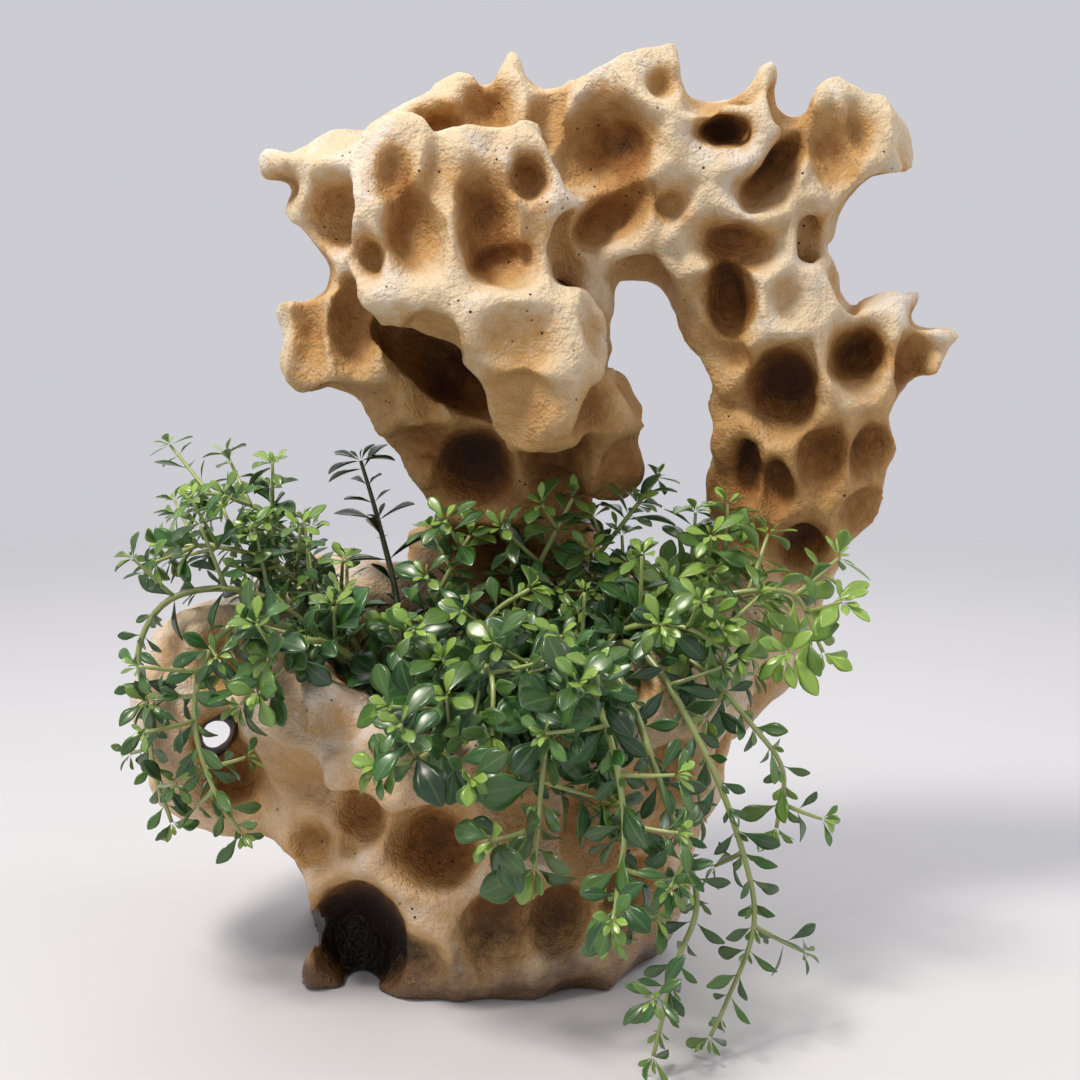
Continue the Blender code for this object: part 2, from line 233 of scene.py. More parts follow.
# %% The hollows: mouth (u, v), then how far across, tall and deep in mm, and the lean in degrees
ARCH_HOLLOWS = (
    (-23, 136, 4, 4, 6.5, 0),
    (-18, 129, 2.5, 3, 6, 0),
    (-29, 116, 2.5, 8, 4.5, 0),
    (-21, 116, 3.6, 8, 6, 0),
    (-20, 120, 1.6, 1.6, 3, 0),
    (-14, 144.4, 3, 4.8, 6, 0),
    (-10, 134.5, 4.3, 6.8, 7.5, -8),
    (3, 136, 4.8, 10, 9, 0),
    (4.5, 128, 4.4, 3.6, 9, 0),
    (11.3, 143, 2.8, 3.2, 5.5, 0),
    (11, 134, 2.2, 5.5, 2, 0),
    (9.3, 129.5, 1.3, 2.2, 5, 0),
    (17, 131, 3, 4.6, 7, 0),
    (-5, 110, 13, 5.2, 14, 32),
    (1, 91, 6.3, 6.6, 11, 0),
    (-8, 103, 1.8, 4.7, 2, -15),
    (16, 93, 5.2, 5, 7, 0),
    (3, 155, 4.6, 5.2, 7, 0),
    (-6, 151, 5, 3, 5, -20),
    (24, 148, 8.6, 8, 11, 0),
    (26, 136, 7.2, 3.9, 9, -30),
    (36, 137, 2, 2, 3, 0),
    (35, 159, 1.8, 1.6, 3, 0),
    (43, 157, 3, 2.6, 4, 0),
    (46, 151, 4, 2.7, 11, 0),
    (49, 157, 2.7, 2.9, 1.2, 0),
    (55, 145, 2.7, 7.7, 10, 40),
    (65, 148, 4.1, 5.9, 5, 0),
    (70, 151, 1.8, 3.8, 3, 0),
    (61, 130, 1.4, 6.4, 2, 5),
    (48, 131, 6.5, 4.1, 9, 0),
    (47, 121, 3.6, 6.6, 11, 0),
    (58, 122, 3.1, 2.9, 3, 0),
    (57, 105, 6.4, 7.4, 12, 0),
    (71, 112, 5.3, 4.7, 11, 0),
    (81, 110, 2.7, 4.9, 6, 10),
    (51, 90, 1.7, 5.2, 5, 0),
    (56, 88, 2.6, 3.7, 4, 0),
    (65, 93, 4, 4.6, 4, 0),
    (74, 93, 3.7, 4.8, 5, 0),
    (61, 75, 3, 5.6, 5, 0),
)
BOWL_HOLLOWS = (
    (-45, 32, 5.7, 6.6, 9, 0),
    (-48, 40, 4, 3.3, 40, -40),
    (-46, 55, 5.1, 6.5, 6, 0),
    (-35, 43, 4.1, 4.2, 2, 0),
    (-26, 42, 3.8, 3.9, 2, 0),
    (-31, 18, 4.2, 4.3, 7, 0),
    (-21, 24, 4.2, 5.3, 8, 0),
    (-24, 18, 1.9, 2, 4, 0),
    (-8, 18, 8, 7.3, 11, 0),
    (-41, 12, 3.1, 3.2, 4, 0),
    (-22, -1, 8.5, 10.5, 22, -8),
    (5, 0, 6.6, 9.5, 8, 0),
    (18, 3, 6.6, 6.6, 9, 0),
    (-12, -6, 6, 5, 5, 0),
    (6, 11, 1.9, 2, 3, 0),
    (12, 10, 1.9, 2, 3, 0),
    (10, 30, 9, 9, 5, 0),
    (25, 20, 8, 10, 6, 0),
    (38, 30, 6, 8, 5, 0),
    (32, 6, 7, 9, 8, 0),
    (30, 49, 5, 4, 4, 0),
)
# Bites that notch the outline between its peaks, right through from front to back.
OUTLINE_BITES = (
    (-34, 131, 6, 6, 26, 0),
    (-33, 141, 2.2, 1.8, 12, 20),
    (17, 164, 3.4, 3.8, 20, 0),
    (43, 167, 6.5, 4.6, 22, 0),
    (59, 161, 3.6, 4.6, 20, 0),
    (77, 134, 9, 8, 26, 0),
    (90, 124, 6, 3, 16, -20),
    (88, 98, 6, 7, 20, 0),
    (3, 164, 2.0, 2.4, 14, 0),
    (-63, -6, 14, 17, 40, 0),
)
# The arch's hollows are taken this much wider, so that only thin ridges stay between them.
ARCH_WIDER = 1.12
# How many are scattered, how far apart in mm, and their least and greatest radii.
DEEP_SCATTER = (46, 13, (4, 8), (5, 8))
SHALLOW_SCATTER = (120, 8.5, (3, 5.5), (1.4, 2.4))
SCATTER_SEED = 4
AIM_BOX = ((-60, 85), (-35, 40), (4, 165))
AIM_FROM = 300.0
AIM_RISES = (-25, 50)
AIM_LEANS = (-40, 40)
AIM_TRIES = 9000
SEEN_TURN = 0.2
POCKET_MIDDLE = Vector((0.0, -3.0, 54.0))
POCKET_RADII = Vector((31.0, 25.0, 26.0))
print("hollows listed:", len(ARCH_HOLLOWS) + len(BOWL_HOLLOWS))

# %% [markdown]
# ## Carving with a distance field
#
# Blender's Boolean would cut these shapes with knife edges. Real tufa is worn: its crests have a small radius, and
# lumps flow into each other. A distance field does that well. It is a grid of numbers, each telling how far that
# point is from the surface, less than zero inside. Two shapes join by taking the smaller number, and a hollow is
# cut by taking the larger of the stone and minus the hollow. Doing either softly gives the fillets and worn crests.

# %% The grid, and soft joins
GRID_STEP = 0.78
GRID_LOW = np.array((-66.0, -46.0, -2.4))
GRID_HIGH = np.array((92.0, 46.0, 168.0))
LUMP_MELT = 3.0
HOLLOW_MELT = 1.0
CREST_WEAR = 3.4
FAR = 20.0

counts = np.ceil((GRID_HIGH - GRID_LOW) / GRID_STEP).astype(int)
lines = [GRID_LOW[k] + GRID_STEP * np.arange(counts[k]) for k in range(3)]
print("grid:", counts, "points", f"{counts.prod() / 1e6:.1f} million")


def soft_least(a, b, reach):
    """The lesser of two fields, rounded over where they are within reach of each other."""
    near = np.maximum(reach - np.abs(a - b), 0.0) / reach
    return np.minimum(a, b) - near * near * reach / 4


def soft_greatest(a, b, reach):
    return -soft_least(-a, -b, reach)


# %% [markdown]
# A field made of plain ellipsoids looks turned on a lathe. So every point is first pushed a little way by smooth
# noise, and the shapes come out slightly bent. The noise is a lattice of seeded random numbers, blended smoothly.


# %% Smooth noise
NOISE_CELLS = 64


def noise(points, size, seed):
    """Smooth noise from -1 to 1 at an (n, 3) array of points, with lumps about size mm across."""
    lattice = np.random.default_rng(seed).uniform(-1, 1, (NOISE_CELLS,) * 3).astype(np.float32)
    place = points / size
    cell = np.floor(place).astype(int)
    part = (place - cell).astype(np.float32)
    part = part * part * (3 - 2 * part)
    total = np.zeros(len(points), np.float32)
    for corner in np.ndindex(2, 2, 2):
        weight = np.ones(len(points), np.float32)
        for axis in range(3):
            weight *= part[:, axis] if corner[axis] else 1 - part[:, axis]
        i, j, k = ((cell[:, axis] + corner[axis]) % NOISE_CELLS for axis in range(3))
        total += weight * lattice[i, j, k]
    return total


# Each bend: how far it pushes and the size of its lumps, in mm.
BENDS = ((1.1, 13.0), (0.45, 5.0))


def bent(points, first_seed):
    """The points, pushed by the noise that makes plain shapes irregular."""
    pushed = points.astype(np.float32).copy()
    seed = first_seed
    for push, size in BENDS:
        for axis in range(3):
            pushed[:, axis] += push * noise(points, size, seed)
            seed += 1
    return pushed


all_points = np.stack(np.meshgrid(*lines, indexing="ij"), axis=-1).reshape(-1, 3)
BENT = bent(all_points, 100).reshape(*counts, 3)
print("grid bent by up to", float(np.abs(BENT.reshape(-1, 3) - all_points).max()), "mm")

# %% [markdown]
# Each ellipsoid only matters near itself, so its distances are worked out in its own small part of the grid. That
# makes two hundred shapes as quick as a few.


# %% Distance to an ellipsoid
def part_of_grid(middle, reach):
    """The slices of the grid that hold a ball round middle."""
    low = np.clip(np.floor((middle - reach - GRID_LOW) / GRID_STEP).astype(int), 0, counts)
    high = np.clip(np.ceil((middle + reach - GRID_LOW) / GRID_STEP).astype(int) + 1, 0, counts)
    return tuple(slice(a, b) for a, b in zip(low, high))


def ellipsoid(points, middle, radii, turn):
    """The distance in mm from points to an ellipsoid's surface, less than zero inside. turn holds its axes."""
    local = (points - np.array(middle, np.float32)) @ np.array(turn, np.float32)
    scaled = local / np.array(radii, np.float32)
    length = np.sqrt((scaled**2).sum(-1)) + 1e-6
    slope = np.sqrt(((scaled / np.array(radii, np.float32)) ** 2).sum(-1)) + 1e-6
    return length * (length - 1) / slope


def join(field, shapes, melt):
    """Joins ellipsoids, each its middle, radii and turn, into a field."""
    for middle, radii, turn in shapes:
        where = part_of_grid(np.array(middle), max(radii) + 2 * melt + 3)
        near = ellipsoid(BENT[where], middle, radii, turn)
        field[where] = soft_least(field[where], near, melt)


def leaning(degrees):
    return Matrix.Rotation(math.radians(degrees), 3, "Y")


hull = np.full(counts, FAR, np.float32)
join(hull, [(seen(*p), radii, leaning(lean)) for p, radii, lean in BOWL_LUMPS + ARCH_LUMPS], LUMP_MELT)
print("bulk:", f"{(hull < 0).sum() * GRID_STEP**3 / 1000:.0f} cubic cm")

# %% [markdown]
# A field turns into a mesh by drawing faces where it crosses zero. Blender carries a library for such volumes, and
# one call of it gives points and four-sided faces.


# %% From a field to a mesh
def surface_of(field):
    """The points in mm and the four-sided faces of a field's zero surface."""
    grid = openvdb.FloatGrid(FAR)
    grid.copyFromArray(np.ascontiguousarray(field, np.float32))
    points, faces = grid.convertToQuads(isovalue=0.0)
    return points.astype(float) * GRID_STEP + GRID_LOW, faces


hull_points, hull_faces = surface_of(hull)
hull_tree = BVHTree.FromPolygons([Vector(p) for p in hull_points], [tuple(map(int, f)) for f in hull_faces])
print("bulk surface:", len(hull_faces), "faces")


# %% [markdown]
# ## Pressing in the hollows
#
# A ray from the eye finds where each listed hollow's mouth lies on the lump. The scattered ones are found by rays
# aimed from all round, and those that land on the seen side are kept shallow.


# %% Find the mouths
def facing(inward, lean):
    """Axes with +Y along inward and +Z as upright as it can be, then leaned."""
    across = inward.cross(Vector((0, 0, 1))).normalized()
    upright = across.cross(inward)
    return Matrix((across, inward, upright)).transposed() @ leaning(lean)


def listed_hollows(rows, wider):
    """Each hollow pressed in along the line of sight, with its width and height taken wider times."""
    made = []
    for u, v, across, tall, deep, lean in rows:
        inward = (Vector((u, 0.0, v)) - EYE).normalized()
        mouth = hull_tree.ray_cast(EYE, inward)[0] or hull_tree.find_nearest(seen(u, v, 0))[0]
        made.append((mouth, (across * wider, deep, tall * wider), facing(inward, lean)))
    return made


def scattered_hollows(taken, seen_too, count, spacing, widths, depths):
    chance = random.Random(SCATTER_SEED)
    made = []
    for _ in range(AIM_TRIES):
        azimuth = math.radians(chance.uniform(0, 360))
        rise = math.radians(chance.uniform(*AIM_RISES))
        aim = Vector([chance.uniform(*reach) for reach in AIM_BOX])
        across, tall, deep = chance.uniform(*widths), chance.uniform(*widths), chance.uniform(*depths)
        lean = chance.uniform(*AIM_LEANS)
        level = math.cos(rise)
        outward = Vector((math.cos(azimuth) * level, math.sin(azimuth) * level, math.sin(rise)))
        mouth, normal = hull_tree.ray_cast(aim + outward * AIM_FROM, -outward)[:2]
        if mouth is None or (not seen_too and normal.dot((EYE - mouth).normalized()) > SEEN_TURN):
            continue
        if any((mouth - other[0]).length < spacing for other in taken + made):
            continue
        made.append((mouth, (across, deep, tall), facing(-normal, lean)))
        if len(made) == count:
            break
    return made


pressed = listed_hollows(ARCH_HOLLOWS, ARCH_WIDER) + listed_hollows(BOWL_HOLLOWS + OUTLINE_BITES, 1.0)
pressed += scattered_hollows(pressed, False, *DEEP_SCATTER)
pressed += scattered_hollows(pressed, True, *SHALLOW_SCATTER)
print("hollows pressed in:", len(pressed))

# %% [markdown]
# ## Scoops up to the crests
#
# No part of the stone is smooth. Each hollow widens to a scoop that runs out until it meets its neighbours' scoops,
# and a thin crest stands where two of them meet. So each point is given to the hollow whose rim is nearest, and the
# crests run where two rims are equally near. The further a point lies from the crest, the deeper it is scooped.


# %% Scoops round the hollows
SCOOP_REACH = 24.0
# How much of a hollow's depth direction counts, so that the scoops follow the surface.
INWARD_SHARE = 0.6
# A scoop is this deep, in mm, and deeper with the hollow's size, and is at its deepest this far from the crest.
SCOOP_DEPTH = (0.9, 0.62)
SCOOP_DEEPEST = 4.8
SCOOP_RUN = 6.0
CREST_ROUND = 0.6
BAND = 9.0
# The crests stand this far proud of the lump, in mm, so that scooping leaves the stone as thick as it should be.
CRESTS_PROUD = 1.7
# The foot is worn smoother than the arch: scoops have this share of their depth below the first height, in mm,
# and all of it above the second.
FOOT_SHARE = 0.30
WORN_HEIGHTS = (56.0, 80.0)
RIPPLE = (0.5, 6.0)

nearest = np.full(counts, FAR, np.float32)
second = nearest.copy()
scoop = np.zeros(counts, np.float32)
for mouth, (across, deep, tall), turn in pressed:
    where = part_of_grid(np.array(mouth), SCOOP_REACH)
    wide = math.sqrt(across * tall)
    local = (BENT[where] - np.array(mouth, np.float32)) @ np.array(turn, np.float32)
    local *= np.array((wide / across, INWARD_SHARE, wide / tall), np.float32)
    rim = np.sqrt((local**2).sum(-1)) - wide
    closer = rim < nearest[where]
    second[where] = np.where(closer, nearest[where], np.minimum(second[where], rim))
    depth = min(SCOOP_DEPTH[0] + SCOOP_DEPTH[1] * min(across, tall), SCOOP_DEEPEST)
    scoop[where] = np.where(closer, depth, scoop[where])
    nearest[where] = np.where(closer, rim, nearest[where])

band = np.abs(hull) < BAND
from_crest = (second[band] - nearest[band]) / 2
from_crest = np.sqrt(from_crest**2 + CREST_ROUND**2) - CREST_ROUND
bowl = np.minimum(from_crest / SCOOP_RUN, 1.0)
rise = np.clip((BENT[band][:, 2] - WORN_HEIGHTS[0]) / (WORN_HEIGHTS[1] - WORN_HEIGHTS[0]), 0, 1)
share_here = FOOT_SHARE + (1 - FOOT_SHARE) * rise
scooped = hull - CRESTS_PROUD
scooped[band] += CRESTS_PROUD * (1 - share_here)
scooped[band] += share_here * scoop[band] * bowl * (2 - bowl)
scooped[band] += RIPPLE[0] * noise(BENT[band], RIPPLE[1], 250)
join(scooped, [(seen(*p), radii, leaning(lean)) for p, radii, lean in SMOOTH_LUMPS], LUMP_MELT)
print("scooped points:", int(band.sum()), "deepest scoop", float(scoop.max()), "mm")

# %% Cut the hollows, the pocket and the flat foot
hollows = np.full(counts, FAR, np.float32)
join(hollows, pressed, HOLLOW_MELT)
carved = soft_greatest(scooped, -hollows, CREST_WEAR)
pocket = ellipsoid(all_points.reshape(*counts, 3), POCKET_MIDDLE, POCKET_RADII, Matrix.Identity(3))
carved = np.maximum(carved, -pocket)
carved = np.maximum(carved, -all_points[:, 2].reshape(counts).astype(np.float32))
stone_points, stone_faces = surface_of(carved)
print("stone:", len(stone_faces), "faces, from", stone_points.min(0).round(1), "to", stone_points.max(0).round(1))

# %% [markdown]
# ## The stone's mesh
#
# The mesh takes its grain as real bumps, a tenth of a millimetre or two high, pushed out along each point's own
# direction. The flat foot is left alone so that the stone still stands. The field gives the same small faces
# everywhere, so a Decimate modifier then merges those where the stone is nearly flat and keeps the crests.

# %% Loose crumbs out, grain in
# Each grain: how high it stands and the size of its lumps, in mm.
GRAINS = ((0.20, 3.0), (0.15, 1.6))
FOOT_LEVEL = 0.6
STONE_TRIANGLES = 192000


def largest_part(points, faces):
    """The biggest connected part of a mesh, with crumbs left behind by the carving dropped."""
    bm = bmesh.new()
    verts = [bm.verts.new(p) for p in points]
    for face in faces:
        bm.faces.new([verts[i] for i in face])
    bm.verts.index_update()
    unseen, best = set(range(len(verts))), []
    while unseen:
        found, waiting = [], [unseen.pop()]
        while waiting:
            index = waiting.pop()
            found.append(index)
            for edge in verts[index].link_edges:
                other = edge.other_vert(verts[index]).index
                if other in unseen:
                    unseen.remove(other)
                    waiting.append(other)
        if len(found) > len(best):
            best = found
    kept = set(best)
    bmesh.ops.delete(bm, geom=[v for v in verts if v.index not in kept], context="VERTS")
    return bm


stone_bm = largest_part(stone_points, stone_faces)
stone_bm.normal_update()
stone_bm.verts.ensure_lookup_table()
place = np.array([v.co for v in stone_bm.verts])
outward = np.array([v.normal for v in stone_bm.verts])
height = np.zeros(len(place))
for number, (rise, size) in enumerate(GRAINS):
    height += rise * noise(place, size, 300 + number)
height *= np.clip((place[:, 2] - FOOT_LEVEL) / 2, 0, 1)
place += outward * height[:, None]
for vert, point in zip(stone_bm.verts, place):
    vert.co = Vector(point) * MM
dense_mesh = bpy.data.meshes.new("dense_stone")
stone_bm.to_mesh(dense_mesh)
stone_bm.free()
stone = bpy.data.objects.new("tufa_stone", dense_mesh)
bpy.context.scene.collection.objects.link(stone)
stone.modifiers.new("Thin", "DECIMATE").ratio = STONE_TRIANGLES / (2 * len(dense_mesh.polygons))
stone_mesh = bpy.data.meshes.new_from_object(stone.evaluated_get(bpy.context.evaluated_depsgraph_get()))
stone.modifiers.clear()
stone.data = stone_mesh
bpy.data.meshes.remove(dense_mesh)
stone_mesh.shade_smooth()
stone_mesh.calc_loop_triangles()
place = np.empty(len(stone_mesh.vertices) * 3)
stone_mesh.vertices.foreach_get("co", place)
place = place.reshape(-1, 3) / MM
outward = np.empty(len(stone_mesh.vertices) * 3)
stone_mesh.vertices.foreach_get("normal", outward)
outward = outward.reshape(-1, 3)
print("stone mesh:", len(stone_mesh.loop_triangles), "triangles")


# %% [markdown]
# Water leaves the crests pale and stains what lies sunken between them, and the colour also paints the shade that
# falls there. How sunken a point is can be read from the field: straight out from a crest the stone falls away as fast
# as the distance grows, and out of a hollow it doesn't. That share, taken at a few distances, goes to the mesh as a
# number at each point, for the colour to follow. The stain and the painted shade should fade out softly, so both
# numbers are first averaged with those of the points around them.


# %% Numbers that the colour follows
def read_field(field, points):
    """A field's value at each point, blended from the eight grid values round it."""
    at = (points - GRID_LOW) / GRID_STEP
    cell = np.clip(np.floor(at).astype(int), 0, counts - 2)
    part = at - cell
    total = np.zeros(len(points))
    for corner in np.ndindex(2, 2, 2):
        weight = np.ones(len(points))
        for axis in range(3):
            weight *= part[:, axis] if corner[axis] else 1 - part[:, axis]
        i, j, k = (cell[:, axis] + corner[axis] for axis in range(3))
        total += weight * field[i, j, k]
    return total


def keep(mesh, name, values):
    """Stores one number a point on a mesh, for an Attribute node to read."""
    layer = mesh.attributes.new(name, "FLOAT", "POINT")
    layer.data.foreach_set("value", np.asarray(values, np.float32))


SPREAD_TIMES = 14
# How far out each look goes, in mm, and its share of the whole.
LOOKS_OUT = ((3.0, 0.3), (7.0, 0.35), (14.0, 0.35))
sunken = np.zeros(len(place))
for far, share in LOOKS_OUT:
    sunken += share * np.clip(1 - read_field(carved, place + outward * far) / far, 0, 1.4)
depth_inside = np.clip(-read_field(hull, place), 0, None)
starts, ends = np.array([edge.vertices for edge in stone_mesh.edges]).T
neighbours = np.bincount(starts, minlength=len(place)) + np.bincount(ends, minlength=len(place))


def spread(values, times):
    """Values at the mesh's points, each averaged with its neighbours' that many times."""
    for _ in range(times):
        total = np.bincount(starts, values[ends], len(place)) + np.bincount(ends, values[starts], len(place))
        values = (values + total / neighbours) / 2
    return values


sunken = spread(sunken, SPREAD_TIMES)
depth_inside = spread(depth_inside, SPREAD_TIMES)
keep(stone_mesh, "sunken", sunken)
keep(stone_mesh, "depth_inside", depth_inside)
# facing_up lets the colour paint shade on what faces down.
keep(stone_mesh, "facing_up", spread(outward[:, 2], SPREAD_TIMES))
print("sunken, in fifths:", np.percentile(sunken, (10, 30, 50, 70, 90)).round(2))
print("depth inside, in fifths:", np.percentile(depth_inside, (10, 30, 50, 70, 90)).round(1))

# %% [markdown]
# ## Writing materials as sums
#
# A procedural material is mostly arithmetic on masks, and a chain of Math nodes is hard to read. The class below
# wraps a socket, so that 1 - mask * 0.5 adds the nodes by itself. Anything else comes from its one node method.


# %% A socket that does arithmetic
class Signal:
    """One output socket of a material. Python's operators on it add Math nodes."""

    def __init__(self, tree, link):
        self.tree, self.link = tree, link

    def node(self, kind, settings=None, sockets=None, output=0):
        """Adds a node of that type, with its settings first and then its sockets' values or links."""
        made = self.tree.nodes.new(kind)
        for name, value in (settings or {}).items():
            if name == "stops":
                while len(made.color_ramp.elements) < len(value):
                    made.color_ramp.elements.new(0.5)
                for element, (position, colour) in zip(made.color_ramp.elements, value):
                    element.position, element.color = position, (*colour, 1.0)
            else:
                setattr(made, name, value)
        for name, value in (sockets or {}).items():
            if isinstance(value, Signal):
                self.tree.links.new(value.link, made.inputs[name])
            else:
                made.inputs[name].default_value = value
        return Signal(self.tree, made.outputs[output])

    def maths(self, operation, first, second=0.0):
        return self.node("ShaderNodeMath", {"operation": operation}, {0: first, 1: second})

    def __add__(self, other):
        return self.maths("ADD", self, other)

    def __sub__(self, other):
        return self.maths("SUBTRACT", self, other)

    def __rsub__(self, other):
        return self.maths("SUBTRACT", other, self)

    def __mul__(self, other):
        return self.maths("MULTIPLY", self, other)

    def __truediv__(self, other):
        return self.maths("DIVIDE", self, other)

    __radd__ = __add__
    __rmul__ = __mul__

    def between(self, low, high):
        """0 below low, 1 above high, and a smooth step between them."""
        settings = {"interpolation_type": "SMOOTHSTEP"}
        return self.node("ShaderNodeMapRange", settings, {"Value": self, "From Min": low, "From Max": high})

    def mix(self, first, second):
        """The first colour where this mask is 0, the second where it is 1."""
        settings = {"data_type": "RGBA"}
        first, second = (c if isinstance(c, Signal) else (*c, 1.0) for c in (first, second))
        return self.node("ShaderNodeMix", settings, {0: self, 6: first, 7: second}, 2)


def new_finish(name, **constants):
    """A material and its Principled shader, with the sockets that stay the same all over set on the shader."""
    material = bpy.data.materials.new(name)
    material.use_nodes = True
    shader = material.node_tree.nodes["Principled BSDF"]
    for socket, value in constants.items():
        shader.inputs[socket.replace("_", " ")].default_value = value
    start = Signal(material.node_tree, None)
    return material, shader, start


def join_up(shader, **signals):
    for socket, signal in signals.items():
        signal.tree.links.new(signal.link, shader.inputs[socket.replace("_", " ")])


def kept(start, name):
    """A number that was kept on the mesh's points."""
    return start.node("ShaderNodeAttribute", {"attribute_name": name}, output=2)


def cloud(start, size, detail=2.0):
    """Soft noise from 0 to 1, with lumps about size mm across, fixed to the object."""
    where = start.node("ShaderNodeTexCoord", output=3)
    return start.node("ShaderNodeTexNoise", {}, {"Vector": where, "Scale": 1000.0 / size, "Detail": detail})


# %% [markdown]
# ## The tufa's finish
#
# The crests are pale cream, and the hollows go honey, ochre and at last dark brown. That is partly iron and silt
# staining and partly painted shade, in one mask that follows the numbers kept on the mesh, broken up by noise so that
# it has no hard edge. Painted shade makes it stronger on what faces down, and a band above the bowl's rim is darker.
# The deepest hollows and the cave low under the bowl get a near-black painted shadow. The foot is tan and smoother,
# and its lowest centimetre is darker, partly damp and partly painted shade where it meets the floor. The surface is
# sugary, like coarse salt, with black specks.

# %% Tufa
CREAM = (0.68, 0.55, 0.37)
TAN = (0.62, 0.41, 0.235)
HONEY = (0.52, 0.30, 0.105)
OCHRE = (0.29, 0.120, 0.025)
BROWN = (0.080, 0.030, 0.009)
SHADOW_DARK = (0.014, 0.007, 0.004)
CHALK = (0.74, 0.67, 0.59)
SPECK = (0.02, 0.015, 0.012)

tufa, tufa_shader, tufa_start = new_finish(
    "tufa", Subsurface_Weight=0.3, Subsurface_Scale=0.002, Subsurface_Radius=(1.0, 0.5, 0.2), IOR=1.45
)
blotch = cloud(tufa_start, 8.0, 3.0)
mottle = cloud(tufa_start, 2.2, 3.0)
sugar = cloud(tufa_start, 0.5, 3.0)
high = tufa_start.node("ShaderNodeSeparateXYZ", {}, {0: tufa_start.node("ShaderNodeTexCoord", output=3)}, 2) * 1000
foot = 1 - (high + (blotch - 0.5) * 20).between(52.0, 76.0)
# A band above the bowl's rim, from about 66 to about 100 mm high, is darker.
darker_band = high.between(66.0, 78.0) * (1 - (high + (blotch - 0.5) * 16).between(82.0, 124.0))
# The hollows' colour is partly real iron and silt stain and partly painted shade, both led by how sunken and how deep
# a point lies.
stain_and_shade = kept(tufa_start, "sunken") * 0.55 + kept(tufa_start, "depth_inside") / 12.5
# Subtracting facing_up paints shade on what faces down.
stain_and_shade = stain_and_shade + darker_band * 0.42 - kept(tufa_start, "facing_up") * 0.16 + 0.05
stain_and_shade = stain_and_shade + (blotch - 0.5) * 0.45 + (mottle - 0.5) * 0.35 + (sugar - 0.5) * 0.3
pale_part = (foot * 0.75).mix(CREAM, TAN)
chalky = cloud(tufa_start, 14.0, 3.0).between(0.5, 0.62) * (1 - stain_and_shade.between(0.15, 0.5)) * 0.7
pale_part = chalky.mix(pale_part, CHALK)
colour = stain_and_shade.between(0.06, 0.48).mix(pale_part, HONEY)
colour = stain_and_shade.between(0.40, 0.86).mix(colour, OCHRE)
colour = stain_and_shade.between(0.74, 1.16).mix(colour, BROWN)
# The deepest hollows get a near-black painted shadow.
colour = (stain_and_shade.between(1.1, 1.6) * 0.85).mix(colour, SHADOW_DARK)
colour = (sugar.between(0.52, 0.72) * (1 - stain_and_shade.between(0.3, 0.9)) * 0.4).mix(colour, CHALK)
# The lowest centimetre is damp, which makes it glossier, and it also gets painted shade where the stone meets the
# floor.
wet_and_shade = (1 - (high + (blotch - 0.5) * 22).between(1.0, 13.0)) * 0.85
colour = wet_and_shade.mix(colour, BROWN)
# Painted shadow in the cave low under the bowl, where the overhang keeps the light out.
cave_shade = (1 - high.between(8.0, 24.0)) * stain_and_shade.between(0.35, 0.8)
colour = cave_shade.mix(colour, SHADOW_DARK)
dots = tufa_start.node(
    "ShaderNodeTexVoronoi", {}, {"Vector": tufa_start.node("ShaderNodeTexCoord", output=3), "Scale": 520.0}
)
clustered = cloud(tufa_start, 7.0, 4.0).between(0.55, 0.62)
colour = ((1 - dots.between(0.10, 0.17)) * clustered).mix(colour, SPECK)
grain = sugar * 0.55 + cloud(tufa_start, 1.3, 3.0) * 0.9
bumps = tufa_start.node("ShaderNodeBump", {}, {"Height": grain, "Strength": 0.9, "Distance": 0.0011})
join_up(tufa_shader, Base_Color=colour, Roughness=0.82 - wet_and_shade * 0.5 - foot * 0.22, Normal=bumps)
stone_mesh.materials.append(tufa)
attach(stone, "root")
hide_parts("rock")
print("tufa finish:", len(tufa.node_tree.nodes), "nodes")

# %% [markdown]
# ## The floor's finish
#
# It is plain and pale, and a faint unevenness keeps it from looking like a computer's plane. Far from the stone it
# turns transparent, so that it ends softly in the background and not at a line.

# %% Floor
FLOOR_PALE = (0.66, 0.66, 0.68)
FLOOR_GREYER = (0.60, 0.60, 0.62)
FADE_FROM, FADE_TO = 0.32, 0.75

pale, pale_shader, pale_start = new_finish("pale_floor", Roughness=0.5)
drift = cloud(pale_start, 120.0)
across = pale_start.node("ShaderNodeTexCoord", output=3)
from_stone = pale_start.node("ShaderNodeVectorMath", {"operation": "LENGTH"}, {0: across}, 1)
join_up(
    pale_shader,
    Base_Color=(drift * 0.5).mix(FLOOR_PALE, FLOOR_GREYER),
    Alpha=1 - from_stone.between(FADE_FROM, FADE_TO),
)
floor.data.materials.append(pale)
print("floor fades out from", FADE_FROM, "to", FADE_TO, "m")

# %% [markdown]
# ## The soil
#
# Dark, damp earth fills the pocket up to its level. It is carved from a field as the stone was: the pocket's own
# shape, a little smaller, cut off by an uneven top.

# %% Soil
SOIL_LEVEL = 47.0
SOIL_GAP = 0.5
CLODS = ((0.9, 4.5), (0.55, 2.0))

